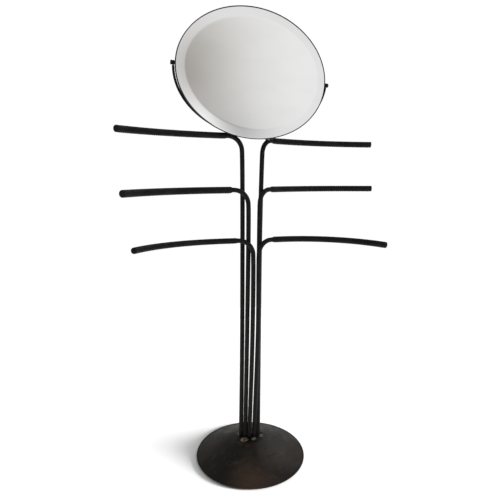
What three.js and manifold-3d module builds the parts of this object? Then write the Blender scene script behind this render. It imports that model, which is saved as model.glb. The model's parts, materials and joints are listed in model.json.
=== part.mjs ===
// Wrought-iron valet stand: a domed round base, six bent rods that end in sleeved
// arms, and an oval tilting mirror held in a U-shaped yoke.
// Millimetres, +Z up, origin on the floor under the centre of the base.
// +X is the user's right and -Y is the side the mirror faces.
import * as THREE from "three";
import { mergeVertices } from "three/addons/utils/BufferGeometryUtils.js";
import Module from "manifold-3d";

const wasm = await Module();
wasm.setup();

// ---- driving dimensions -------------------------------------------------------
const fitGap = 0.3;                 // between pieces that touch

const baseRadius = 182.5;
const baseRimHeight = 6;            // top of the rolled edge above the floor
const baseTopHeight = 66;           // flat seat that the rods stand on
const baseSeatRadius = 44;
const baseShell = 3;                // wall of the dome
const baseCurve = 1.03;             // 1 would be a plain cone
const baseSegments = 48;
const baseSteps = 8;                // along the dome's curve
const padThickness = 2.5;
const padInset = 4;

const ballastRadius = 120;
const ballastThickness = 14;
const ballastSegments = 32;
const studClearance = 1;            // of the ballast's hole round the stud
const studRadius = 6;
const nutRadius = 11;
const nutThickness = 8;
const nutRecessRadius = 14;
const nutRecessDepth = 9;

const rodRadius = 7.2;
const bendRadius = 45;              // on the rod's centre line
const armLength = 420;              // from the rod's axis to the arm's tip, along the arm
const rodSides = 12;
const bendSteps = 7;
const armSteps = 14;
const stationGap = 4;               // least distance between two stations on an arm

const sleeveBore = 7.6;
const sleeveStart = 50;             // along the arm, just past the bend
const sleeveEndWall = 3;

// Each rod: where it stands, the knee where it leans in towards the others, where its bend
// starts from, the height of its arm, the direction of the arm at the rod (degrees from
// +X), how far the arm turns forward over its length, how far its tip droops, and the
// outer radius of its sleeve.
const rods = [
  {
    name: "left_top",
    foot: [-28.4, 13.8],
    knee: [-21.7, 16, 450],
    top: [-20, 18],
    height: 1059,
    heading: 177,
    turn: 44,
    droop: 4.5,
    sleeve: 9.1,
  },
  {
    name: "left_middle",
    foot: [-17.5, 2.7],
    knee: [-11.2, -1, 450],
    top: [-8, -4],
    height: 896.8,
    heading: 162,
    turn: 62,
    droop: 2.5,
    sleeve: 10.2,
  },
  {
    name: "left_low",
    foot: [-7, -8.2],
    knee: [1.5, -16, 450],
    top: [0, -23],
    height: 741.5,
    heading: 160,
    turn: 71,
    droop: -9,
    sleeve: 8.7,
  },
  {
    name: "right_top",
    foot: [32.1, 7.9],
    knee: [39.5, 12.5, 770],
    top: [46.5, 14],
    height: 1049.6,
    heading: 28,
    turn: -62,
    droop: 5.5,
    sleeve: 9.5,
  },
  {
    name: "right_middle",
    foot: [24.5, -6.4],
    knee: [25.3, -7.5, 450],
    top: [28, -10],
    height: 897,
    heading: 26,
    turn: -62,
    droop: 0,
    sleeve: 9.4,
  },
  {
    name: "right_low",
    foot: [9, -10.7],
    knee: [17.5, -23, 450],
    top: [17, -29],
    height: 740.8,
    heading: 10.5,
    turn: -86,
    droop: 4,
    sleeve: 9.4,
  },
];

const pivotHeight = 1235;
const pivotX = 12;
const pivotY = -7;
const mirrorRoll = THREE.MathUtils.degToRad(2.8);   // the left pivot stands higher
const mirrorHalfWidth = 241;
const mirrorHalfHeight = 186;
const panFront = -5.5;              // measured from the pivots, back being positive
const panDepth = 10;
const panWall = 1.6;
const panLip = 1;                   // width of the rim's front edge
const panChamfer = 1.5;
const lipChamfer = 0.4;
const glassThickness = 4;
const glassProud = 0.2;             // how far the glass stands out of the pan
const glassGap = 0.3;               // round its edge
const glassEdge = 1.9;              // thickness left at the rim of the bevel
const bevelWidth = 27;
const ovalSegments = 56;

const yokeRadius = 3.2;
const yokeHalfWidth = 245.5;
const yokeDepth = 175;              // from the pivots down to the middle of the bow
const yokeLean = THREE.MathUtils.degToRad(8.1);
const yokeSteps = 44;

const pinRadius = 3;
const bushRadius = 6.5;
const bushBore = 3.05;
const bushLength = 4;
const flangeRadius = 4.4;
const flangeThickness = 1;
const washerRadius = 6;
const washerThickness = 0.6;
const knobRadius = 6.2;
const knobLength = 5;
const knobWall = 1.6;
const knobChamfer = 1;
const roundSides = 20;
const beadSegments = [14, 9];       // round and up a bead of weld or braze

// ---- materials ------------------------------------------------------------------
function finish(name, color, roughness, metalness) {
  return new THREE.MeshStandardMaterial({ name, color, roughness, metalness });
}
const ironBlack = () => finish("iron_black", 0x1b1b1a, 0.5, 0.6);
const ironBronze = () => finish("iron_bronze", 0x2e2a27, 0.48, 0.65);
const gripBlack = () => finish("grip_black", 0x171716, 0.65, 0.0);
const brazeBrown = () => finish("braze_brown", 0x5c4b3c, 0.45, 0.8);
const steelGrey = () => finish("steel_grey", 0x55534f, 0.4, 0.9);
const mirrorSilver = () => finish("mirror_silver", 0xd8d8d6, 0.03, 1.0);
const boardBrown = () => finish("board_brown", 0x6a5540, 0.9, 0.0);
const padBlack = () => finish("pad_black", 0x101010, 0.95, 0.0);
const nylonBlack = () => finish("nylon_black", 0x141414, 0.6, 0.0);
const castGrey = () => finish("cast_grey", 0x3a3a3a, 0.8, 0.7);

// Braze at the rods' feet: where each bead lies on the seat, and its half sizes.
const footBraze = [
  { name: "left", at: [-27, -15], size: [13, 10, 8], material: brazeBrown },
  { name: "front", at: [2.5, -23], size: [9, 7, 6], material: steelGrey },
  { name: "right", at: [33, -15], size: [9, 8, 5], material: steelGrey },
  { name: "rear_left", at: [-31, 24], size: [9, 8, 5], material: steelGrey },
  { name: "rear_right", at: [36, 17], size: [8, 8, 5], material: steelGrey },
  { name: "centre", at: [6, 10], size: [12, 11, 6], material: steelGrey },
];

// Beads that join the yoke's bow to the two top rods, in the bends.
const yokeWelds = [
  { name: "left", rod: "left_top", at: [-54, 23, 1066], size: [15, 7, 7] },
  { name: "right", rod: "right_top", at: [69, 22, 1055], size: [9, 8, 8] },
];

// ---- helpers --------------------------------------------------------------------
const stand = new THREE.Group();

function place(parent, name, geometry, material) {
  const mesh = new THREE.Mesh(geometry, material);
  mesh.name = name;
  parent.add(mesh);
  return mesh;
}

// Keeps only merged positions, with every face pointing out.
function closedGeometry(source) {
  source.deleteAttribute("normal");
  source.deleteAttribute("uv");
  const merged = mergeVertices(source, 1e-4);
  const position = merged.attributes.position;
  const kept = [];
  const corners = [0, 1, 2].map(() => new THREE.Vector3());
  let volume = 0;
  for (let i = 0; i < merged.index.count; i += 3) {
    const triangle = [0, 1, 2].map((k) => merged.index.getX(i + k));
    if (new Set(triangle).size < 3) continue;
    triangle.forEach((vertex, k) => corners[k].fromBufferAttribute(position, vertex));
    volume += corners[0].dot(corners[1].clone().cross(corners[2])) / 6;
    kept.push(triangle);
  }
  if (volume < 0) kept.forEach((triangle) => triangle.reverse());
  const geometry = new THREE.BufferGeometry();
  geometry.setAttribute("position", position.clone());
  geometry.setIndex(kept.flat());
  return geometry;
}

function toManifold(geometry) {
  return new wasm.Manifold(new wasm.Mesh({
    numProp: 3,
    vertProperties: new Float32Array(geometry.attributes.position.array),
    triVerts: new Uint32Array(geometry.index.array),
  }));
}

function fromManifold(manifold) {
  const mesh = manifold.getMesh();
  const geometry = new THREE.BufferGeometry();
  geometry.setAttribute("position", new THREE.BufferAttribute(mesh.vertProperties, 3));
  geometry.setIndex(new THREE.BufferAttribute(mesh.triVerts, 1));
  return geometry;
}

function cutAway(geometry, ...tools) {
  let solid = toManifold(geometry);
  for (const tool of tools) solid = solid.subtract(toManifold(tool));
  return fromManifold(solid);
}

// A path with its own stations, so that straight stretches take one step only.
class StationPath extends THREE.Curve {
  constructor(stations) {
    super();
    this.stations = stations;
  }

  getUtoTmapping(u) {
    return u;
  }

  getPoint(t, target = new THREE.Vector3()) {
    const along = t * (this.stations.length - 1);
    const first = Math.min(Math.floor(along), this.stations.length - 2);
    const [before, after] = [this.stations[first], this.stations[first + 1]];
    return target.lerpVectors(before.point, after.point, along - first);
  }

  getTangent(t, target = new THREE.Vector3()) {
    const station = Math.round(t * (this.stations.length - 1));
    return target.copy(this.stations[station].tangent);
  }
}

function roundSection(radius, sides) {
  const shape = new THREE.Shape();
  for (let i = 0; i < sides; i += 1) {
    const angle = (2 * Math.PI * i) / sides;
    const x = radius * Math.cos(angle);
    const y = radius * Math.sin(angle);
    if (i === 0) shape.moveTo(x, y);
    else shape.lineTo(x, y);
  }
  shape.closePath();
  return shape;
}

function sweep(radius, stations, sides = rodSides) {
  const geometry = new THREE.ExtrudeGeometry(roundSection(radius, sides), {
    steps: stations.length - 1,
    extrudePath: new StationPath(stations),
    bevelEnabled: false,
  });
  return closedGeometry(geometry);
}

function turned(profile, segments = roundSides) {
  const points = profile.map(([radius, height]) => new THREE.Vector2(radius, height));
  return closedGeometry(new THREE.LatheGeometry(points, segments));
}

// A turned piece about the Z axis, from [radius, z] pairs.
function turnedUp(profile, segments = roundSides) {
  return turned(profile, segments).rotateX(Math.PI / 2);
}

// A turned piece about the X axis, from [radius, x] pairs.
function turnedAcross(profile, segments = roundSides) {
  return turned(profile, segments).rotateZ(-Math.PI / 2);
}

// An oval plate or tray in the XZ plane, from [inset from the outline, y] pairs;
// an inset of null is the centre.
function ovalPlate(profile, halfWidth = mirrorHalfWidth, halfHeight = mirrorHalfHeight) {
  const outline = Math.max(halfWidth, halfHeight);
  const geometry = turned(
    profile.map(([inset, y]) => [inset === null ? 0 : outline - inset, y]),
    ovalSegments,
  );
  const position = geometry.attributes.position;
  for (let i = 0; i < position.count; i += 1) {
    const radius = Math.hypot(position.getX(i), position.getZ(i));
    if (radius < 1e-6) continue;
    const inset = outline - radius;
    position.setX(i, (position.getX(i) / radius) * (halfWidth - inset));
    position.setZ(i, (position.getZ(i) / radius) * (halfHeight - inset));
  }
  return geometry;
}

// ---- base -----------------------------------------------------------------------
// Height of the dome's outer face at a distance from its centre.
function domeHeight(radius) {
  const along = Math.max(0, (radius - baseSeatRadius) / (baseRadius - baseSeatRadius));
  return baseRimHeight + (baseTopHeight - baseRimHeight) * (1 - along ** baseCurve);
}

function domeProfile(inset, steps) {
  const points = [];
  for (let i = 0; i <= steps; i += 1) {
    const radius = baseSeatRadius + ((baseRadius - inset - baseSeatRadius) * i) / steps;
    points.push([radius, domeHeight(radius) - inset]);
  }
  return points;
}

function makeBase() {
  const skirtBottom = padThickness + fitGap;
  place(stand, "base_dome", turnedUp([
    [0, baseTopHeight],
    ...domeProfile(0, baseSteps),
    [baseRadius, skirtBottom],
    [baseRadius - baseShell, skirtBottom],
    ...domeProfile(baseShell, baseSteps).reverse(),
    [0, baseTopHeight - baseShell],
  ], baseSegments), ironBronze());

  place(stand, "base_pad", turnedUp([
    [0, 0],
    [baseRadius - padInset, 0],
    [baseRadius - padInset, padThickness],
    [0, padThickness],
  ], baseSegments), padBlack());

  const ballastTop = skirtBottom + ballastThickness;
  const recessTop = skirtBottom + nutRecessDepth;
  const studTop = baseTopHeight - baseShell - fitGap;
  place(stand, "base_ballast", turnedUp([
    [studRadius + studClearance, recessTop],
    [nutRecessRadius, recessTop],
    [nutRecessRadius, skirtBottom],
    [ballastRadius, skirtBottom],
    [ballastRadius, ballastTop],
    [studRadius + studClearance, ballastTop],
    [studRadius + studClearance, recessTop],
  ], ballastSegments), castGrey());

  place(stand, "base_stud", turnedUp([
    [0, skirtBottom + fitGap],
    [studRadius, skirtBottom + fitGap],
    [studRadius, studTop],
    [0, studTop],
  ]), steelGrey());

  const hexagon = roundSection(nutRadius, 6);
  hexagon.holes.push(roundSection(studRadius + fitGap, roundSides));
  const nut = new THREE.ExtrudeGeometry(hexagon, { depth: nutThickness, bevelEnabled: false });
  nut.translate(0, 0, recessTop - fitGap - nutThickness);
  place(stand, "base_nut", closedGeometry(nut), steelGrey());
}

// ---- rods, sleeves and the braze at the rods' feet ----------------------------------
// One station on a rod's centre line, at a distance along its arm from the rod's axis.
function armStation(rod, distance) {
  const turn = THREE.MathUtils.degToRad(rod.turn) / armLength;
  const start = THREE.MathUtils.degToRad(rod.heading);
  const heading = start + turn * distance;
  const x = rod.top[0] + (Math.sin(heading) - Math.sin(start)) / turn;
  const y = rod.top[1] - (Math.cos(heading) - Math.cos(start)) / turn;
  let z = rod.height;
  let rise = 0;
  let level = 1;
  if (distance < bendRadius) {
    const angle = Math.acos(1 - distance / bendRadius);
    z += bendRadius * (Math.sin(angle) - 1);
    rise = Math.cos(angle);
    level = Math.sin(angle);
  } else {
    const share = (distance - bendRadius) / (armLength - bendRadius);
    z -= rod.droop * share ** 1.5;
    rise = (-1.5 * rod.droop * share ** 0.5) / (armLength - bendRadius);
  }
  const tangent = new THREE.Vector3(level * Math.cos(heading), level * Math.sin(heading), rise);
  return { point: new THREE.Vector3(x, y, z), tangent: tangent.normalize() };
}

// Stations along an arm between two distances, at the same places on rod and sleeve.
function armStations(rod, from, to) {
  const distances = [from];
  for (let i = 1; i < armSteps; i += 1) {
    const distance = bendRadius + ((armLength - bendRadius) * i) / armSteps;
    if (distance > from + stationGap && distance < to - stationGap) distances.push(distance);
  }
  distances.push(to);
  return distances.map((distance) => armStation(rod, distance));
}

function rodStations(rod) {
  const foot = {
    point: new THREE.Vector3(rod.foot[0], rod.foot[1], baseTopHeight + fitGap),
    tangent: new THREE.Vector3(0, 0, 1),
  };
  const knee = { point: new THREE.Vector3(...rod.knee), tangent: foot.tangent };
  const bend = [];
  for (let i = 0; i < bendSteps; i += 1) {
    const angle = (Math.PI / 2) * (i / bendSteps);
    bend.push(armStation(rod, bendRadius * (1 - Math.cos(angle))));
  }
  return [foot, knee, ...bend, ...armStations(rod, bendRadius, armLength - sleeveEndWall - fitGap)];
}

function makeRods() {
  for (const rod of rods) {
    place(stand, `rod_${rod.name}`, sweep(rodRadius, rodStations(rod)), ironBlack());
    const outside = sweep(rod.sleeve, armStations(rod, sleeveStart, armLength));
    const bore = sweep(sleeveBore, armStations(rod, sleeveStart - 1, armLength - sleeveEndWall));
    place(stand, `sleeve_${rod.name}`, cutAway(outside, bore), gripBlack());
  }
}

function blob(centre, radii) {
  const ball = new THREE.SphereGeometry(1, ...beadSegments);
  ball.scale(...radii);
  ball.translate(...centre);
  return closedGeometry(ball);
}

function makeFootBraze() {
  const grown = rods.map((rod) => sweep(rodRadius + fitGap, rodStations(rod).slice(0, 2)));
  const depth = 2 * baseSeatRadius;
  const below = new THREE.BoxGeometry(2 * depth, 2 * depth, depth);
  below.translate(0, 0, baseTopHeight + fitGap - depth / 2);
  const seat = closedGeometry(below);
  for (const bead of footBraze) {
    const whole = blob([bead.at[0], bead.at[1], baseTopHeight], bead.size);
    place(stand, `braze_${bead.name}`, cutAway(whole, seat, ...grown), bead.material());
  }
}

// ---- yoke and mirror ----------------------------------------------------------------
function rolledGroup(lean) {
  const group = new THREE.Group();
  group.position.set(pivotX, pivotY, pivotHeight);
  group.rotation.order = "YXZ";
  group.rotation.set(lean, mirrorRoll, 0);
  stand.add(group);
  group.updateMatrixWorld(true);
  return group;
}

function yokeStations() {
  const first = Math.asin((bushRadius + fitGap) / yokeDepth);
  const stations = [];
  for (let i = 0; i <= yokeSteps; i += 1) {
    const angle = first + ((Math.PI - 2 * first) * i) / yokeSteps;
    stations.push({
      point: new THREE.Vector3(yokeHalfWidth * Math.cos(angle), 0, -yokeDepth * Math.sin(angle)),
      tangent: new THREE.Vector3(
        -yokeHalfWidth * Math.sin(angle), 0, -yokeDepth * Math.cos(angle),
      ).normalize(),
    });
  }
  return stations;
}

function makeYoke() {
  const yoke = rolledGroup(yokeLean);
  place(yoke, "yoke_bow", sweep(yokeRadius, yokeStations()), ironBlack());
  const grownBow = sweep(yokeRadius + fitGap, yokeStations()).applyMatrix4(yoke.matrixWorld);
  for (const weld of yokeWelds) {
    const rod = rods.find((candidate) => candidate.name === weld.rod);
    const grownRod = sweep(rodRadius + fitGap, rodStations(rod));
    const sleeveOn = armStations(rod, sleeveStart - fitGap, armLength);
    const grownSleeve = sweep(rod.sleeve + fitGap, sleeveOn);
    const bead = cutAway(blob(weld.at, weld.size), grownBow, grownRod, grownSleeve);
    place(stand, `weld_${weld.name}`, bead, steelGrey());
  }
}

function makePivot(parent, side) {
  const name = side < 0 ? "left" : "right";
  const across = (profile) => {
    const geometry = turnedAcross(profile);
    if (side < 0) geometry.rotateZ(Math.PI);
    return geometry;
  };
  const flangeStart = mirrorHalfWidth + fitGap;
  const flangeEnd = flangeStart + flangeThickness;
  const washerStart = flangeEnd + fitGap;
  const washerEnd = washerStart + washerThickness;
  const bushStart = yokeHalfWidth - bushLength / 2;
  const bushEnd = yokeHalfWidth + bushLength / 2;
  const knobStart = bushEnd + fitGap;
  const knobEnd = knobStart + knobLength;
  place(parent, `pivot_stud_${name}`, across([
    [0, flangeStart],
    [flangeRadius, flangeStart],
    [flangeRadius, flangeEnd],
    [pinRadius, flangeEnd],
    [pinRadius, knobEnd - knobWall - fitGap],
    [0, knobEnd - knobWall - fitGap],
  ]), ironBlack());
  place(parent, `pivot_washer_${name}`, across([
    [bushBore, washerStart],
    [washerRadius, washerStart],
    [washerRadius, washerEnd],
    [bushBore, washerEnd],
    [bushBore, washerStart],
  ]), nylonBlack());
  place(parent, `pivot_knob_${name}`, across([
    [bushBore, knobStart],
    [knobRadius - knobChamfer, knobStart],
    [knobRadius, knobStart + knobLength / 2],
    [knobRadius, knobEnd - knobChamfer],
    [knobRadius - knobChamfer, knobEnd],
    [0, knobEnd],
    [0, knobEnd - knobWall],
    [bushBore, knobEnd - knobWall],
    [bushBore, knobStart],
  ]), ironBlack());
  return { name, bush: across([
    [bushBore, bushStart],
    [bushRadius, bushStart],
    [bushRadius, bushEnd],
    [bushBore, bushEnd],
    [bushBore, bushStart],
  ]) };
}

function makeMirror() {
  const mirror = rolledGroup(0);
  const panBack = panFront + panDepth;
  const glassInset = panLip + glassGap;
  const glassFront = panFront - glassProud;
  const glassBack = glassFront + glassThickness;
  const boardBack = panBack - panWall - fitGap;
  place(mirror, "mirror_pan", ovalPlate([
    [null, panBack],
    [panChamfer, panBack],
    [0, panBack - panChamfer],
    [0, panFront + lipChamfer],
    [lipChamfer, panFront],
    [panLip, panFront],
    [panLip, panBack - panWall],
    [null, panBack - panWall],
  ]), ironBlack());
  place(mirror, "mirror_glass", ovalPlate([
    [null, glassFront],
    [glassInset + bevelWidth, glassFront],
    [glassInset, glassBack - glassEdge],
    [glassInset, glassBack],
    [null, glassBack],
  ]), mirrorSilver());
  place(mirror, "mirror_board", ovalPlate([
    [null, glassBack + fitGap],
    [glassInset, glassBack + fitGap],
    [glassInset, boardBack],
    [null, boardBack],
  ]), boardBrown());
  for (const side of [-1, 1]) {
    const { name, bush } = makePivot(mirror, side);
    place(mirror, `yoke_bush_${name}`, bush, ironBlack());
  }
}

makeBase();
makeRods();
makeFootBraze();
makeYoke();
makeMirror();

export default stand;
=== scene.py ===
"""The looks of a wrought-iron valet stand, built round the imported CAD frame.

Metres, +Z up, -Y towards the user. Centre lines, sizes and places come from the frame.
"""

import json
import math

import bpy
import numpy as np
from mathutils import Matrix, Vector, noise


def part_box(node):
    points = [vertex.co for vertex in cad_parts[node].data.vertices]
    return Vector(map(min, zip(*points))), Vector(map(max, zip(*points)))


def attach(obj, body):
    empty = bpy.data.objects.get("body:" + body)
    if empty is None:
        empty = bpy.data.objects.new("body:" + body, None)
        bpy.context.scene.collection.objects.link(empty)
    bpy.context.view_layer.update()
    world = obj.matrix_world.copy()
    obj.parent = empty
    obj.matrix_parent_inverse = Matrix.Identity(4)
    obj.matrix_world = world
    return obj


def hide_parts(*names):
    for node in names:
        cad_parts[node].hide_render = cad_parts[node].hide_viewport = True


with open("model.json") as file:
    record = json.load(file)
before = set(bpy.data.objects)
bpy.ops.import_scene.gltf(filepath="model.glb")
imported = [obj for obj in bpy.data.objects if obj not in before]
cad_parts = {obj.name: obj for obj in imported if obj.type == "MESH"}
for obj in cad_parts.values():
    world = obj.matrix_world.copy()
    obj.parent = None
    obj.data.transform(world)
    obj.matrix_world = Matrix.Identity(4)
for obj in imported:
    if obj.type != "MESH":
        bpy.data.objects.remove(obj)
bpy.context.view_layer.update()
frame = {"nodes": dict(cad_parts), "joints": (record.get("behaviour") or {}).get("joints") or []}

MM = 0.001

# ---- driving values, in millimetres unless said -------------------------------------
rod_radius = 7.3
rod_sides = 24
rod_step = 4.0
rod_ripple = 0.12              # how far hand forging moves the surface
rod_end_roll = 1.2             # rounding of a rod's cut ends

sleeve_sides = 28
sleeve_collar = 7.0            # length of the sleeve's tapered start
sleeve_cap = 3.0               # length of its rounded end
sleeve_step = 3.0
sleeve_ripple = 0.1
sleeve_inset = 0.1             # of the smooth sleeve inside the faceted one
sleeve_clearance = 0.35        # round the rod, where the sleeve starts
stitch_pitch = 7.0
stitch_length = 4.6
stitch_radius = 0.45
stitch_slant = 1.6             # sideways, from one end of a stitch to the other
stitch_arch = 0.5              # how far its middle stands above its ends
seam_start = 12.0
seam_end = 14.0                # left free before the sleeve's tip

base_seat_radius = 44.0
base_curve = 1.03
base_rim_roll = 3.0            # radius of the rolled edge
base_wall = 3.0
base_dent = 0.5
base_dent_fade = 12.0          # the dents die out this close to the rim
pad_fuzz = 0.25

front_warm_spot = (-0.06, -0.155, 0.015)   # warm patch at the front of the dome, metres
front_warm_radius = 0.1
rubbed_and_sheen_spot = (0.06, -0.085, 0.04)   # paler patch at the front right: rubbed wear with a painted sheen
rubbed_and_sheen_radius = 0.1

cad_sides = 12                 # corners of a swept CAD section

yoke_radius = 3.5
yoke_step = 5.0
yoke_end_roll = 1.0
yoke_ripple = 0.06
mirror_segments = 160
bevel_width = 27.0
bevel_ease = 4.0               # half width of the rounding where the bevel starts
arris_width = 1.8              # polished edge of the glass, outside the bevel
arris_depth = 0.57
glass_edge = 1.9               # thickness left at the rim of the bevel
pan_lip = 1.0
pan_wall = 1.6
pan_back_roll = 1.6            # rounding of the tray's back edge
pan_back_crown = 0.4           # the middle of the back stands out by this much
outline_inset = 0.3            # keeps the smooth oval inside the faceted one
pin_radius = 2.95
pivot_bore = 3.1
flange_thickness = 1.0
knob_wall = 1.6

camera_place = (-0.5400, -1.2700, 0.9414)
camera_turn = (80.4, 0.0, -23.0)     # degrees
camera_lens = 31.82
sensor_width = 36.0


# ---- node materials ----------------------------------------------------------------
class Shader:
    """A Principled material built from a few procedural layers."""

    def __init__(self, name, roughness=0.5, metallic=0.0, specular=0.5):
        self.material = bpy.data.materials.new(name)
        self.material.use_nodes = True
        self.tree = self.material.node_tree
        self.shader = self.tree.nodes["Principled BSDF"]
        self.shader.inputs["Roughness"].default_value = roughness
        self.shader.inputs["Metallic"].default_value = metallic
        self.shader.inputs["Specular IOR Level"].default_value = specular
        self.place = self.add("ShaderNodeTexCoord").outputs["Object"]

    def add(self, kind, **settings):
        node = self.tree.nodes.new(kind)
        for key, value in settings.items():
            setattr(node, key, value)
        return node

    def link(self, source, target):
        self.tree.links.new(source, target)

    def stretched(self, factors):
        """Object coordinates scaled along each axis."""
        mapping = self.add("ShaderNodeMapping")
        mapping.inputs["Scale"].default_value = factors
        self.link(self.place, mapping.inputs["Vector"])
        return mapping.outputs["Vector"]

    def noise(self, scale, detail=4.0, rough=0.55, distortion=0.0, vector=None):
        node = self.add("ShaderNodeTexNoise")
        node.inputs["Scale"].default_value = scale
        node.inputs["Detail"].default_value = detail
        node.inputs["Roughness"].default_value = rough
        node.inputs["Distortion"].default_value = distortion
        self.link(vector or self.place, node.inputs["Vector"])
        return node.outputs["Fac"]

    def cells(self, scale, feature="F1", vector=None):
        node = self.add("ShaderNodeTexVoronoi", feature=feature)
        node.inputs["Scale"].default_value = scale
        self.link(vector or self.place, node.inputs["Vector"])
        return node.outputs["Distance"]

    def spread(self, value, low, high, to_low=0.0, to_high=1.0):
        """Maps a range of values to another, clamped."""
        node = self.add("ShaderNodeMapRange", interpolation_type="SMOOTHSTEP")
        node.inputs["From Min"].default_value = low
        node.inputs["From Max"].default_value = high
        node.inputs["To Min"].default_value = to_low
        node.inputs["To Max"].default_value = to_high
        self.link(value, node.inputs["Value"])
        return node.outputs["Result"]

    def maths(self, operation, first, second):
        node = self.add("ShaderNodeMath", operation=operation)
        for socket, value in zip(node.inputs, (first, second)):
            if isinstance(value, (int, float)):
                socket.default_value = value
            else:
                self.link(value, socket)
        return node.outputs["Value"]

    def near(self, spot, radius, most):
        """How near the surface is to a spot on the object: most there, 0 a radius away."""
        away = self.add("ShaderNodeVectorMath", operation="DISTANCE")
        self.link(self.place, away.inputs[0])
        away.inputs[1].default_value = spot
        return self.spread(away.outputs["Value"], 0.0, radius, most, 0.0)

    def blend(self, amount, first, second, mode="MIX"):
        node = self.add("ShaderNodeMix", data_type="RGBA", blend_type=mode)
        sockets = [s for s in node.inputs if s.type == "RGBA"]
        factor = node.inputs["Factor"]
        for socket, value in ((factor, amount), (sockets[0], first), (sockets[1], second)):
            if isinstance(value, (int, float)):
                socket.default_value = value
            elif isinstance(value, tuple):
                socket.default_value = (*value, 1.0)
            else:
                self.link(value, socket)
        return next(s for s in node.outputs if s.type == "RGBA")

    def height(self):
        """The object coordinate's height above the floor."""
        node = self.add("ShaderNodeSeparateXYZ")
        self.link(self.place, node.inputs["Vector"])
        return node.outputs["Z"]

    def color(self, source):
        self.link(source, self.shader.inputs["Base Color"])

    def roughness(self, source):
        self.link(source, self.shader.inputs["Roughness"])

    def bump(self, *layers):
        """Chained bumps, each a height source, a depth in metres and a strength."""
        normal = None
        for source, depth, strength in layers:
            node = self.add("ShaderNodeBump")
            node.inputs["Strength"].default_value = strength
            node.inputs["Distance"].default_value = depth
            self.link(source, node.inputs["Height"])
            if normal is not None:
                self.link(normal, node.inputs["Normal"])
            normal = node.outputs["Normal"]
        self.link(normal, self.shader.inputs["Normal"])


def iron_material(name, dark, light, warm, roughness=0.5):
    """Waxed black iron: hammer marks, mottled wax, a little brown low down."""
    iron = Shader(name, specular=0.14)
    patches = iron.noise(38, detail=5)
    grain = iron.noise(900, detail=3)
    tone = iron.blend(iron.spread(patches, 0.38, 0.66), dark, light)
    rust = iron.maths("MULTIPLY", iron.spread(iron.noise(95, detail=6), 0.5, 0.72),
                      iron.spread(iron.height(), 0.75, 0.1, 0.12, 0.9))
    tone = iron.blend(rust, tone, warm)
    iron.color(iron.blend(iron.spread(grain, 0.3, 0.75, 0.0, 0.35), tone, dark))
    iron.roughness(iron.spread(patches, 0.3, 0.75, roughness - 0.1, roughness + 0.12))
    iron.bump((iron.cells(150, "SMOOTH_F1"), 0.0006, 0.5), (grain, 0.0001, 0.5))
    return iron.material


def bronze_material():
    """The dome's dark bronze patina: cloudy brown, lighter where rubbed and where a sheen is painted, with
    fine speckle.
    """
    bronze = Shader("bronze_patina", specular=0.14)
    clouds = bronze.noise(11, detail=7, rough=0.6, distortion=0.6)
    blotches = bronze.noise(42, detail=6, rough=0.62)
    speckle = bronze.noise(620, detail=3)
    rings = bronze.noise(30, detail=3, vector=bronze.stretched((1.0, 1.0, 9.0)))
    dark, light = (0.0085, 0.0068, 0.0052), (0.026, 0.0195, 0.0145)
    tone = bronze.blend(bronze.spread(clouds, 0.36, 0.66), dark, light)
    tone = bronze.blend(bronze.spread(blotches, 0.5, 0.7, 0.0, 0.6), tone, (0.056, 0.036, 0.023))
    tone = bronze.blend(bronze.near(front_warm_spot, front_warm_radius, 0.8), tone, (0.075, 0.046, 0.031))
    # paler patch at the front right: painted sheen over rubbed wear
    tone = bronze.blend(bronze.near(rubbed_and_sheen_spot, rubbed_and_sheen_radius, 0.7), tone, (0.06, 0.052, 0.047))
    tone = bronze.blend(bronze.spread(rings, 0.52, 0.7, 0.0, 0.35), tone, (0.009, 0.0075, 0.006))
    bronze.color(bronze.blend(bronze.spread(speckle, 0.35, 0.7, 0.0, 0.4), tone, (0.008, 0.0065, 0.005)))
    bronze.roughness(bronze.spread(blotches, 0.3, 0.75, 0.46, 0.66))
    bronze.bump((clouds, 0.0025, 0.35), (blotches, 0.0006, 0.4), (speckle, 0.00012, 0.6))
    return bronze.material


def leather_material():
    """Black wrapped leather on the arms, with pebbled grain and dulled high spots."""
    leather = Shader("grip_leather", roughness=0.6, specular=0.13)
    grain = leather.cells(700, "F1")
    creases = leather.noise(60, detail=6, rough=0.6, vector=leather.stretched((1.0, 1.0, 2.5)))
    wear = leather.noise(24, detail=5)
    tone = leather.blend(leather.spread(wear, 0.4, 0.68), (0.0055, 0.0054, 0.0052), (0.013, 0.0127, 0.0122))
    leather.color(leather.blend(leather.spread(grain, 0.0, 0.7, 0.5, 0.0), tone, (0.003, 0.003, 0.003)))
    leather.roughness(leather.spread(creases, 0.3, 0.75, 0.48, 0.74))
    leather.bump((creases, 0.0007, 0.35), (grain, 0.00022, 0.7))
    return leather.material


def weld_material(name, dark, light, metallic=0.7):
    """Bare weld or braze: rippled, half clean and half scaled."""
    metal = Shader(name, metallic=metallic, specular=0.5)
    scale = metal.noise(260, detail=6, rough=0.65)
    patches = metal.noise(70, detail=4)
    tone = metal.blend(metal.spread(patches, 0.35, 0.65), dark, light)
    metal.color(metal.blend(metal.spread(scale, 0.48, 0.68, 0.0, 0.8), tone, tuple(0.35 * c for c in dark)))
    metal.roughness(metal.spread(scale, 0.3, 0.75, 0.34, 0.62))
    metal.bump((scale, 0.0006, 0.7), (metal.cells(420, "SMOOTH_F1"), 0.0004, 0.5))
    return metal.material


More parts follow.
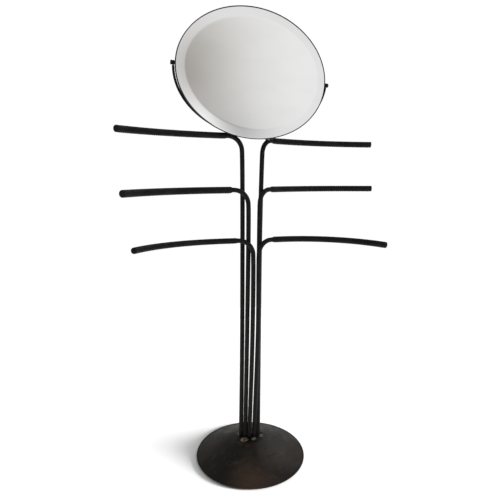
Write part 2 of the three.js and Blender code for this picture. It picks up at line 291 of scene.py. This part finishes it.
def mirror_material():
    """Silvered glass: nearly perfect, with faint smears and a trace of dust."""
    glass = Shader("mirror_silvering", metallic=1.0, roughness=0.015)
    smears = glass.noise(9, detail=6, rough=0.6, vector=glass.stretched((1.0, 1.0, 2.2)))
    dust = glass.noise(1500, detail=2)
    clean = glass.blend(glass.spread(smears, 0.4, 0.7), (0.93, 0.935, 0.93), (0.905, 0.91, 0.905))
    glass.color(glass.blend(glass.spread(dust, 0.66, 0.8, 0.0, 0.3), clean, (0.8, 0.8, 0.79)))
    glass.roughness(glass.spread(smears, 0.35, 0.75, 0.008, 0.03))
    return glass.material


def felt_material():
    felt = Shader("base_felt", roughness=0.95, specular=0.1)
    felt.shader.inputs["Sheen Weight"].default_value = 0.4
    fibres = felt.noise(700, detail=5, rough=0.7, distortion=1.5)
    tufts = felt.noise(120, detail=4)
    tone = felt.blend(felt.spread(tufts, 0.35, 0.7), (0.008, 0.008, 0.0085), (0.02, 0.02, 0.021))
    felt.color(felt.blend(felt.spread(fibres, 0.4, 0.7, 0.0, 0.5), tone, (0.035, 0.035, 0.037)))
    felt.bump((fibres, 0.0004, 0.8))
    return felt.material


def board_material():
    """Hardboard: pressed brown fibre."""
    board = Shader("hardboard", roughness=0.85, specular=0.2)
    fibres = board.noise(320, detail=6, rough=0.7, distortion=2.0)
    cloudy = board.noise(18, detail=4)
    tone = board.blend(board.spread(cloudy, 0.35, 0.7), (0.16, 0.1, 0.058), (0.22, 0.145, 0.085))
    board.color(board.blend(board.spread(fibres, 0.45, 0.7, 0.0, 0.7), tone, (0.085, 0.052, 0.03)))
    board.bump((fibres, 0.0003, 0.5))
    return board.material


def plastic_material():
    nylon = Shader("washer_nylon", roughness=0.5, specular=0.4)
    frost = nylon.noise(800, detail=3)
    nylon.color(nylon.blend(nylon.spread(frost, 0.35, 0.7), (0.012, 0.012, 0.012), (0.026, 0.026, 0.026)))
    nylon.roughness(nylon.spread(frost, 0.3, 0.7, 0.42, 0.6))
    nylon.bump((frost, 0.00008, 0.4))
    return nylon.material


def cast_material():
    cast = Shader("rough_casting", metallic=0.4, roughness=0.75, specular=0.4)
    sand = cast.noise(380, detail=5, rough=0.7)
    scale = cast.noise(30, detail=5)
    tone = cast.blend(cast.spread(scale, 0.4, 0.65), (0.03, 0.028, 0.027), (0.07, 0.045, 0.03))
    cast.color(cast.blend(cast.spread(sand, 0.4, 0.7, 0.0, 0.6), tone, (0.015, 0.014, 0.014)))
    cast.bump((sand, 0.0008, 0.8))
    return cast.material


def thread_material():
    thread = Shader("waxed_thread", roughness=0.55, specular=0.35)
    twist = thread.noise(1600, detail=2)
    thread.color(thread.blend(thread.spread(twist, 0.35, 0.7), (0.009, 0.009, 0.009), (0.03, 0.029, 0.027)))
    thread.bump((twist, 0.0002, 0.7))
    return thread.material


# ---- meshes ------------------------------------------------------------------------
def piece(name, points, faces, material, body, slot, *stands_for, sharp=35.0):
    """A smooth-shaded mesh that rides on a body and stands for CAD nodes."""
    mesh = bpy.data.meshes.new(name)
    mesh.from_pydata([tuple(p) for p in points], [], faces)
    mesh.validate()
    mesh.polygons.foreach_set("use_smooth", [True] * len(mesh.polygons))
    mesh.set_sharp_from_angle(angle=math.radians(sharp))
    mesh.materials.append(material)
    obj = bpy.data.objects.new(name, mesh)
    bpy.context.scene.collection.objects.link(obj)
    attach(obj, body)
    if stands_for:
        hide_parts(*stands_for)
    return obj


def dress(node, material):
    """Gives a CAD node that is shown as it is its material."""
    materials = frame["nodes"][node].data.materials
    materials.clear()
    materials.append(material)


def rings_to_mesh(rings, close_ends=True):
    """Points and outward faces of a surface through rings of equal length."""
    count = len(rings[0])
    points = [p for ring in rings for p in ring]
    faces = []
    for r in range(len(rings) - 1):
        for i in range(count):
            j = (i + 1) % count
            faces.append((r * count + i, r * count + j, (r + 1) * count + j, (r + 1) * count + i))
    if close_ends:
        last = (len(rings) - 1) * count
        points.append(sum(map(Vector, rings[0]), Vector()) / count)
        points.append(sum(map(Vector, rings[-1]), Vector()) / count)
        start, end = len(points) - 2, len(points) - 1
        for i in range(count):
            j = (i + 1) % count
            faces.append((start, j, i))
            faces.append((end, last + i, last + j))
    return points, faces


def lathe(profile, segments, placed, closed=False):
    """Rings of a turned piece. profile is [radius, height] pairs, and placed puts
    (cosine, sine, radius, height) in the row frame."""
    rings = []
    for radius, height in profile:
        ring = []
        for i in range(segments):
            angle = 2 * math.pi * i / segments
            ring.append(placed(math.cos(angle), math.sin(angle), radius, height))
        rings.append(ring)
    if closed:
        rings.append(rings[0])
    return rings


def arc(centre, radius, start, end, steps):
    """Points on an arc in a profile, in degrees."""
    return [
        (centre[0] + radius * math.cos(math.radians(start + (end - start) * i / steps)),
         centre[1] + radius * math.sin(math.radians(start + (end - start) * i / steps)))
        for i in range(steps + 1)
    ]


def centre_line(node, beyond):
    """Points along the middle of a swept CAD node. beyond is a point past the end to start
    from. Each section is the corners one edge further along the mesh than the last."""
    mesh = frame["nodes"][node].data
    numbers = {}
    index = [numbers.setdefault(tuple(round(c, 6) for c in v.co), len(numbers)) for v in mesh.vertices]
    corners = [Vector(place) for place in numbers]
    near = [set() for _ in corners]
    for edge in mesh.edges:
        a, b = (index[i] for i in edge.vertices)
        near[a].add(b)
        near[b].add(a)
    nearest = sorted(range(len(corners)), key=lambda i: (corners[i] - beyond).length)
    section = set(nearest[:cad_sides])
    done = set(section)
    line = []
    while section:
        line.append(sum((corners[i] for i in section), Vector()) / len(section))
        section = {j for i in section for j in near[i]} - done
        done |= section
    return line


def smooth_line(points, step):
    """A smooth curve through the points (centripetal Catmull-Rom), resampled."""
    pts = [2 * points[0] - points[1], *points, 2 * points[-1] - points[-2]]
    fine = [points[0].copy()]
    for a, b, c, d in zip(pts, pts[1:], pts[2:], pts[3:]):
        chords = [max((q - p).length, 1e-9) for p, q in ((a, b), (b, c), (c, d))]
        t0, t1, t2, t3 = 0.0, *np.cumsum([chord ** 0.5 for chord in chords])
        count = max(1, round((c - b).length / step))
        for i in range(1, count + 1):
            t = t1 + (t2 - t1) * i / count
            a1 = a * ((t1 - t) / (t1 - t0)) + b * ((t - t0) / (t1 - t0))
            a2 = b * ((t2 - t) / (t2 - t1)) + c * ((t - t1) / (t2 - t1))
            a3 = c * ((t3 - t) / (t3 - t2)) + d * ((t - t2) / (t3 - t2))
            b1 = a1 * ((t2 - t) / (t2 - t0)) + a2 * ((t - t0) / (t2 - t0))
            b2 = a2 * ((t3 - t) / (t3 - t1)) + a3 * ((t - t1) / (t3 - t1))
            fine.append(b1 * ((t2 - t) / (t2 - t1)) + b2 * ((t - t1) / (t2 - t1)))
    return fine


def tangents(line):
    ends = [line[1] - line[0]]
    ends += [b - a for a, b in zip(line, line[2:])]
    ends.append(line[-1] - line[-2])
    return [t.normalized() for t in ends]


def lengths(line):
    return [0.0, *np.cumsum([(b - a).length for a, b in zip(line, line[1:])])]


def tube_rings(line, radii, sides, ripple=0.0, ripple_scale=90.0, up=Vector((1, 0, 0))):
    """Rings round a line. The surface is moved in and out by noise of depth ripple."""
    rings = []
    side = up
    for centre, tangent, radius in zip(line, tangents(line), radii):
        side = (side - tangent * side.dot(tangent)).normalized()
        other = tangent.cross(side)
        ring = []
        for i in range(sides):
            angle = 2 * math.pi * i / sides
            out = side * math.cos(angle) + other * math.sin(angle)
            spot = centre + out * radius
            if ripple:
                spot += out * (ripple * min(1.0, radius / (2 * MM)) * noise.noise(spot * ripple_scale))
            ring.append(spot)
        rings.append(ring)
    return rings


# ---- the rods and sleeves --------------------------------------------------------------
def rod_line(node):
    """The smooth centre line of a CAD rod, from its foot to its arm's tip."""
    foot = Vector((0.0, 0.0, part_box(node)[0].z - 1.0))
    return smooth_line(centre_line(node, foot), rod_step * MM)


def rounded_ends(line, radius, roll):
    """Radii along a line whose ends are rounded over by roll."""
    along = lengths(line)
    total = along[-1]
    radii = []
    for s in along:
        edge = min(s, total - s)
        fall = max(0.0, 1 - edge / roll)
        radii.append(radius - roll * (1 - math.sqrt(max(0.0, 1 - fall * fall))))
    return radii


def dense_ends(line, roll, steps=4):
    """Adds points close to both ends of a line, for a round edge there."""
    start, end = line[0], line[-1]
    a, b = (line[1] - start).normalized(), (line[-2] - end).normalized()
    marks = [roll * (1 - math.cos(math.pi / 2 * i / steps)) for i in range(steps + 1)]
    inner = [p for p in line if (p - start).length > roll * 1.2 and (p - end).length > roll * 1.2]
    return [start + a * m for m in marks] + inner + [end + b * m for m in reversed(marks)]


def make_rods(material):
    lines = {}
    for node in [n for n in frame["nodes"] if n.startswith("rod_")]:
        lines[node[4:]] = line = rod_line(node)
        shaped = dense_ends(line, rod_end_roll * MM)
        radii = rounded_ends(shaped, rod_radius * MM, rod_end_roll * MM)
        rings = tube_rings(shaped, radii, rod_sides, rod_ripple * MM)
        piece("bent_" + node, *rings_to_mesh(rings), material, "stand", "iron_black", node)
    return lines


def along_line(line, start, end, step):
    """Points on a line between two lengths along it, carried straight on past its end."""
    marks = lengths(line)
    found = []
    count = max(2, round((end - start) / step))
    for i in range(count + 1):
        s = start + (end - start) * i / count
        k = min(max(int(np.searchsorted(marks, s)) - 1, 0), len(line) - 2)
        share = (s - marks[k]) / (marks[k + 1] - marks[k])
        found.append(line[k].lerp(line[k + 1], share))
    return found


def sleeve_facts(name, line):
    """How far along its rod's line a CAD sleeve starts and ends, and its radius."""
    marks = lengths(line)
    direction = tangents(line)
    spans, radii = [], []
    for v in frame["nodes"]["sleeve_" + name].data.vertices:
        k = min(range(len(line)), key=lambda i: (line[i] - v.co).length_squared)
        along = (v.co - line[k]).dot(direction[k])
        spans.append(marks[k] + along)
        radii.append((v.co - line[k] - direction[k] * along).length)
    return min(spans), max(spans), float(np.percentile(radii, 90)) - sleeve_inset * MM


def make_sleeves(lines, material, thread):
    for name, line in lines.items():
        start, end, full = sleeve_facts(name, line)
        path = along_line(line, start, end, sleeve_step * MM)
        path = dense_ends(path, sleeve_cap * MM, steps=8)
        marks = lengths(path)
        open_radius = rod_radius * MM + sleeve_clearance * MM
        radii = []
        for s in marks:
            from_end = marks[-1] - s
            grow = min(1.0, s / (sleeve_collar * MM))
            radius = open_radius + (full - open_radius) * math.sin(grow * math.pi / 2)
            if from_end < sleeve_cap * MM:
                fall = 1 - from_end / (sleeve_cap * MM)
                radius *= max(0.04, math.sqrt(max(0.0, 1 - fall ** 3.2)))
            radii.append(radius)
        rings = tube_rings(path, radii, sleeve_sides, sleeve_ripple * MM, 130.0, up=Vector((0, 0, -1)))
        piece("grip_" + name, *rings_to_mesh(rings), material, "stand", "grip_black", "sleeve_" + name)
        stitches(name, path, full, thread)


def stitches(name, path, radius, material):
    """A seam of slanted stitches along the underside of one sleeve, as one mesh."""
    total = lengths(path)[-1]
    points, faces = [], []
    s = seam_start * MM
    while s < total - seam_end * MM:
        run = along_line(path, s, s + stitch_length * MM, stitch_length * MM / 4)
        stitch = []
        for i, (spot, tangent) in enumerate(zip(run, tangents(run))):
            share = i / (len(run) - 1)
            down = (Vector((0, 0, -1)) - tangent * -tangent.z).normalized()
            side = tangent.cross(down) * (share - 0.5) * stitch_slant * MM
            lift = (math.sin(math.pi * share) - 0.5) * stitch_arch * MM
            stitch.append(spot + down * (radius + lift) + side)
        more, quads = rings_to_mesh(tube_rings(stitch, [stitch_radius * MM] * len(stitch), 6))
        base = len(points)
        points += more
        faces += [tuple(base + i for i in f) for f in quads]
        s += stitch_pitch * MM
    piece("stitching_" + name, points, faces, material, "stand", "grip_black")


# ---- the base ------------------------------------------------------------------------------
def dome_height(radius, rim_radius, rim_height, top):
    """Height of the dome's outer face at a distance from its centre."""
    along = max(0.0, (radius - base_seat_radius * MM) / (rim_radius - base_seat_radius * MM))
    return rim_height + (top - rim_height) * (1 - along ** base_curve)


def make_dome(material):
    low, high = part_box("base_dome")
    rim_radius, top, bottom = high.x, high.z, low.z
    roll = base_rim_roll * MM
    rim_height = bottom + 1.1 * roll
    seat = base_seat_radius * MM
    outer = [(seat * i / 10, top) for i in range(1, 10)]
    steps = 54
    for i in range(steps + 1):
        radius = seat + (rim_radius - roll * 0.75 - seat) * i / steps
        outer.append((radius, dome_height(radius, rim_radius, rim_height, top)))
    slope = math.degrees(math.atan2(outer[-2][1] - outer[-1][1], outer[-1][0] - outer[-2][0]))
    rim = arc((rim_radius - roll, bottom + roll), roll, 90 - slope, -90, 10)
    inner = [(r - base_wall * MM * 0.4, z - base_wall * MM) for r, z in reversed(outer[8:-2])]
    profile = [*outer, *rim, *inner]

    def placed(c, s, radius, height):
        spot = Vector((radius * c, radius * s, height))
        dent = noise.noise(spot * 22) * base_dent + noise.noise(spot * 70) * base_dent * 0.3
        fade = min(1.0, max(0.0, (rim_radius - radius) / (base_dent_fade * MM))) * min(1.0, radius / seat)
        return spot + Vector((0, 0, dent * MM * fade))

    points, faces = rings_to_mesh(lathe(profile, 192, placed))
    return piece("dome_shell", points, faces, material, "stand", "iron_bronze", "base_dome", sharp=60)


def make_pad(material):
    radius, _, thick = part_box("base_pad")[1]
    roll = thick * 0.45
    lower = arc((radius - roll, roll), roll, -90, 0, 5)
    upper = arc((radius - roll, thick - roll), roll, 0, 90, 5)
    shares = (0.25, 0.6)
    under = [(radius * share, 0.0) for share in shares]
    over = [(radius * share, thick) for share in reversed(shares)]
    profile = [*under, *lower, *upper, *over]

    def placed(c, s, r, height):
        spot = Vector((r * c, r * s, height))
        fuzz = noise.noise(spot * 260) * pad_fuzz * MM if r > radius * 0.9 else 0.0
        return Vector(((r + fuzz) * c, (r + fuzz) * s, height))

    points, faces = rings_to_mesh(lathe(profile, 160, placed))
    return piece("felt_pad", points, faces, material, "stand", "pad_black", "base_pad")


def bead(name, node, material, slot, seed):
    """A lumpy weld bead that fills the box of its CAD node."""
    low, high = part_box(node)
    centre, half = (low + high) / 2, (high - low) / 2
    standing = node.startswith("braze")
    if standing:
        centre.z = low.z
        half.z = high.z - low.z
    rings = []
    rows, count = 22, 36
    sunk = 2.2 * MM
    for r in range(1, rows):
        polar = math.pi * r / rows
        ring = []
        for i in range(count):
            angle = 2 * math.pi * i / count
            level = math.sin(polar)
            out = Vector((level * math.cos(angle), level * math.sin(angle), math.cos(polar)))
            lump = 1 + 0.16 * noise.noise(out * 1.7 + Vector((seed, 0, 0)))
            lump += 0.07 * noise.noise(out * 4.5 + Vector((0, seed, 0)))
            lump += 0.035 * math.sin(9 * angle + 5 * polar)
            spot = Vector((out.x * half.x, out.y * half.y, out.z * half.z)) * lump
            if standing:
                spot.z = max(spot.z, -sunk)
            ring.append(centre + spot)
        rings.append(list(reversed(ring)))
    piece(name, *rings_to_mesh(rings), material, "stand", slot, node, sharp=70)


# ---- the yoke, the mirror and its pivots -----------------------------------------------------
hinge = frame["joints"][0]
pivot = Vector(hinge["pos_m"])
across = -Vector(hinge["axis"])          # towards the user's right
front_back = Vector((0, 1, 0))
upward = across.cross(front_back)


def in_mirror(x, y, z):
    """A point given along the pivots, back from them and up the mirror, in metres."""
    return pivot + across * x + front_back * y + upward * z


def mirror_extent(node):
    """Lowest and highest values of a CAD node along the mirror's own three axes."""
    spots = [v.co - pivot for v in frame["nodes"][node].data.vertices]
    values = np.array([[p.dot(across), p.dot(front_back), p.dot(upward)] for p in spots])
    return values.min(0), values.max(0)


def make_yoke(material):
    low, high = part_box("yoke_bow")
    above_left = pivot - across * (high.x - low.x) / 2 + upward
    line = smooth_line(centre_line("yoke_bow", above_left), yoke_step * MM)
    shaped = dense_ends(line, yoke_end_roll * MM)
    radii = rounded_ends(shaped, yoke_radius * MM, yoke_end_roll * MM)
    rings = tube_rings(shaped, radii, 20, yoke_ripple * MM, 120.0, up=Vector((0, 1, 0)))
    piece("yoke_bar", *rings_to_mesh(rings), material, "stand", "iron_black", "yoke_bow")


def filleted(corners, radius, steps=4):
    """A profile whose corners are rounded. Corners are [radius, height] pairs."""
    out = []
    count = len(corners)
    for i in range(count):
        here = Vector(corners[i])
        before = Vector(corners[i - 1])
        after = Vector(corners[(i + 1) % count])
        a = min(radius, 0.45 * (before - here).length)
        b = min(radius, 0.45 * (after - here).length)
        start = here + (before - here).normalized() * a
        end = here + (after - here).normalized() * b
        for k in range(steps + 1):
            t = k / steps
            spot = start * (1 - t) ** 2 + here * 2 * t * (1 - t) + end * t * t
            out.append((max(spot.x, 0.0), spot.y))
    return out


def turned_on_pivot(name, node, corners, fillet, material, body, slot, solid=False):
    """A round piece on a pivot. corners are [radius, distance from the middle] pairs, in
    metres; solid pieces start and end on the axis."""
    side = -1 if node.endswith("left") else 1
    profile = filleted(corners, fillet)
    if solid:
        profile = [(max(radius, 0.02 * MM), distance) for radius, distance in profile]

    def placed(c, s, radius, distance):
        return in_mirror(side * distance, radius * c * side, radius * s)

    rings = lathe(profile, 40, placed, closed=not solid)
    points, faces = rings_to_mesh(rings, close_ends=solid)
    piece(name, points, faces, material, body, slot, node)


def oval_rings(profile, half_width, half_height):
    """Rings of an oval plate from [inset from its outline, y] pairs."""
    rings = []
    for inset, y in profile:
        ring = []
        for i in range(mirror_segments):
            angle = 2 * math.pi * i / mirror_segments
            width = half_width - inset
            height = half_height - inset
            ring.append(in_mirror(width * math.cos(angle), y, height * math.sin(angle)))
        rings.append(ring)
    return rings


def make_mirror(iron, silver, board):
    low, high = mirror_extent("mirror_pan")
    half_width = (high[0] - low[0]) / 2 - outline_inset * MM
    half_height = (high[2] - low[2]) / 2 - outline_inset * MM
    front, back = low[1], high[1]
    lip = pan_lip * MM
    wall = pan_wall * MM
    near_centre = half_height - 2 * MM
    half_lip = lip / 2
    roll = pan_back_roll * MM
    rolled = back - pan_back_crown * MM - roll
    quarter = [math.radians(a) for a in range(15, 91, 15)]
    over_lip = [math.radians(a) for a in range(0, 181, 20)]
    rim = [
        (near_centre, back), (40 * MM, back), (14 * MM, back), (4 * MM, rolled + roll),
        *[(roll - roll * math.sin(a), rolled + roll * math.cos(a)) for a in quarter],
        (0.0, front + 3 * MM),
        *[(half_lip - half_lip * math.cos(a), front + half_lip - half_lip * math.sin(a)) for a in over_lip],
        (lip, back - wall), (30 * MM, back - wall), (near_centre, back - wall),
    ]
    rings = oval_rings(rim, half_width, half_height)
    piece("mirror_frame", *rings_to_mesh(rings), iron, "mirror", "iron_black", "mirror_pan")

    low, high = mirror_extent("mirror_glass")
    glass_width, glass_height = (high[0] - low[0]) / 2, (high[2] - low[2]) / 2
    face, rear = low[1], high[1]
    bevel = bevel_width * MM
    edge = rear - glass_edge * MM
    arris = arris_width * MM
    corner = edge + arris_depth * MM
    middle = glass_height - 2 * MM
    slope = (edge - face) / bevel
    ease = bevel_ease * MM
    shares = [i / 5 for i in range(6)]
    soft = [(bevel + ease - 2 * ease * t, face + slope * ease * t * t) for t in shares]
    glass = [
        (middle, face), (glass_height * 0.5, face), *soft,
        (arris, edge - arris * slope), (0.1 * MM, corner), (0.0, corner + 0.2 * MM),
        (0.0, rear - 0.3 * MM), (0.3 * MM, rear), (middle, rear),
    ]
    rings = oval_rings(glass, glass_width, glass_height)
    points, faces = rings_to_mesh([list(reversed(ring)) for ring in rings])
    piece("bevelled_glass", points, faces, silver, "mirror", "mirror_silver", "mirror_glass", sharp=3)
    dress("mirror_board", board)


def pivot_span(node):
    """How far from the mirror's middle a CAD piece on a pivot starts and ends, and its radius."""
    low, high = mirror_extent(node)
    start, end = sorted((abs(low[0]), abs(high[0])))
    return start, end, max(high[1], -low[1])


def make_pivots(iron, nylon):
    bore, pin, wall = pivot_bore * MM, pin_radius * MM, knob_wall * MM
    for side in ("left", "right"):
        start, end, outer = pivot_span("pivot_stud_" + side)
        shoulder = start + flange_thickness * MM
        turned_on_pivot("stud_" + side, "pivot_stud_" + side, [
            (0, start), (outer, start), (outer, shoulder), (pin, shoulder), (pin, end), (0, end),
        ], 0.3 * MM, iron, "mirror", "iron_black", solid=True)
        for name, node, slot, material, body, fillet in (
            ("washer_", "pivot_washer_", "nylon_black", nylon, "mirror", 0.25),
            ("bush_", "yoke_bush_", "iron_black", iron, "stand", 0.7),
        ):
            start, end, outer = pivot_span(node + side)
            turned_on_pivot(name + side, node + side, [
                (bore, start), (outer, start), (outer, end), (bore, end),
            ], fillet * MM, material, body, slot)
        start, end, outer = pivot_span("pivot_knob_" + side)
        turned_on_pivot("knob_" + side, "pivot_knob_" + side, [
            (bore, start), (outer * 0.84, start), (outer, start + 2.5 * MM), (outer, end),
            (0, end), (0, end - wall), (bore, end - wall),
        ], 0.6 * MM, iron, "mirror", "iron_black")


# ---- surroundings ------------------------------------------------------------------------------
room_level = 0.48
# Soft spots on the room's walls: azimuth from -Y towards +X, elevation, radius, gain.
room_spots = [
    (24.0, 12.0, 35.0, 0.41),       # the front wall
    (19.0, 0.0, 7.0, -0.42),        # low in front
    (10.0, -6.0, 7.0, 0.75),        # low on the left
    (36.0, 33.0, 9.0, -0.12),       # high in front
    (-18.0, 13.0, 13.0, 0.25),      # window to the left
    (115.0, 40.0, 22.0, 1.2),       # window to the rear right
]
dim_spot = (13.5, 13.0, 8.5, -0.46)
dim_color = (1.0, 0.95, 0.9)
backdrop_level = 1.02           # what the camera sees behind the stand
floor_radius = 1.7
lamp_direction = (57.0, 14.0)   # azimuth and elevation
lamp_spread = 17.0
lamp_strength = 11.5


def make_camera():
    data = bpy.data.cameras.new("camera")
    data.lens = camera_lens
    data.sensor_width = sensor_width
    data.clip_start = 0.01
    data.clip_end = 100
    camera = bpy.data.objects.new("camera", data)
    camera.location = camera_place
    camera.rotation_euler = [math.radians(a) for a in camera_turn]
    bpy.context.scene.collection.objects.link(camera)
    bpy.context.scene.camera = camera


def unit(azimuth, elevation):
    """A direction: azimuth from -Y towards +X, in degrees."""
    a, e = math.radians(azimuth), math.radians(elevation)
    return (math.sin(a) * math.cos(e), -math.cos(a) * math.cos(e), math.sin(e))


def make_world():
    """A pale room, brightest in front of the mirror, where it is dim to the left and low
    down, with a soft window to the rear right. The backdrop is white."""
    world = bpy.data.worlds.new("studio")
    bpy.context.scene.world = world
    world.use_nodes = True
    nodes, links = world.node_tree.nodes, world.node_tree.links
    sky = nodes["Background"]
    direction = nodes.new("ShaderNodeTexCoord").outputs["Generated"]

    def maths(operation, *values):
        node = nodes.new("ShaderNodeMath")
        node.operation = operation
        for socket, value in zip(node.inputs, values):
            if isinstance(value, (int, float)):
                socket.default_value = value
            else:
                links.new(value, socket)
        return node.outputs["Value"]

    def spot(azimuth, elevation, radius):
        """A soft round spot on the room's walls: 1 at its middle, radius in degrees."""
        dot = nodes.new("ShaderNodeVectorMath")
        dot.operation = "DOT_PRODUCT"
        dot.inputs[1].default_value = unit(azimuth, elevation)
        links.new(direction, dot.inputs[0])
        away = maths("SUBTRACT", dot.outputs["Value"], 1.0)
        return maths("EXPONENT", maths("MULTIPLY", away, 2 / math.radians(radius) ** 2))

    level = room_level
    for *where, gain in [*room_spots, dim_spot]:
        level = maths("ADD", level, maths("MULTIPLY", spot(*where), gain))
    seen = nodes.new("ShaderNodeLightPath").outputs["Is Camera Ray"]
    level = maths("MAXIMUM", level, maths("MULTIPLY", seen, backdrop_level))
    links.new(level, sky.inputs["Strength"])
    tint = nodes.new("ShaderNodeMix")
    tint.data_type = "RGBA"
    colors = [socket for socket in tint.inputs if socket.type == "RGBA"]
    colors[0].default_value = (1, 1, 1, 1)
    colors[1].default_value = (*dim_color, 1)
    links.new(spot(*dim_spot[:3]), tint.inputs["Factor"])
    links.new(next(socket for socket in tint.outputs if socket.type == "RGBA"), sky.inputs["Color"])


def make_floor():
    bpy.ops.mesh.primitive_circle_add(vertices=128, radius=floor_radius, fill_type="NGON")
    floor = bpy.context.object
    floor.name = "studio_floor"
    pale = Shader("studio_paper", roughness=0.9, specular=0.1)
    mottle = pale.noise(3, detail=2)
    pale.color(pale.blend(pale.spread(mottle, 0.3, 0.7), (0.75, 0.75, 0.75), (0.76, 0.76, 0.76)))
    floor.data.materials.append(pale.material)
    return floor


def make_floor_lamp(floor, casters):
    """A soft lamp low on the right. Only the floor takes its light, and only the
    base stands in it."""
    data = bpy.data.lights.new("floor_lamp", "SUN")
    data.angle = math.radians(lamp_spread)
    data.energy = lamp_strength
    lamp = bpy.data.objects.new("floor_lamp", data)
    lamp.rotation_mode = "QUATERNION"
    lamp.rotation_quaternion = Vector(unit(*lamp_direction)).to_track_quat("Z", "Y")
    bpy.context.scene.collection.objects.link(lamp)
    lit = bpy.data.collections.new("lit_by_floor_lamp")
    lit.objects.link(floor)
    lamp.light_linking.receiver_collection = lit
    shading = bpy.data.collections.new("in_floor_lamp")
    for obj in casters:
        shading.objects.link(obj)
    lamp.light_linking.blocker_collection = shading


# ---- everything together -------------------------------------------------------------
bpy.context.scene.view_settings.view_transform = "Standard"

iron = iron_material("black_iron", (0.005, 0.0048, 0.0045), (0.012, 0.0115, 0.011), (0.022, 0.015, 0.01))
leather = leather_material()
brown = weld_material("brown_braze", (0.1, 0.068, 0.042), (0.32, 0.26, 0.2))
grey = weld_material("grey_weld", (0.06, 0.056, 0.05), (0.22, 0.21, 0.19))

make_camera()
make_world()

lines = make_rods(iron)
make_sleeves(lines, leather, thread_material())
dome = make_dome(bronze_material())
pad = make_pad(felt_material())
make_floor_lamp(make_floor(), [dome, pad])
for number, node in enumerate(sorted(n for n in frame["nodes"] if n.startswith("braze_"))):
    metal, slot = (brown, "braze_brown") if node == "braze_left" else (grey, "steel_grey")
    bead("foot_" + node, node, metal, slot, number)
for number, side in enumerate(("left", "right")):
    bead("arm_weld_" + side, "weld_" + side, grey, "steel_grey", 10 + number)
make_yoke(iron)
make_mirror(iron, mirror_material(), board_material())
make_pivots(iron, plastic_material())
dress("base_ballast", cast_material())
dress("base_stud", grey)
dress("base_nut", grey)
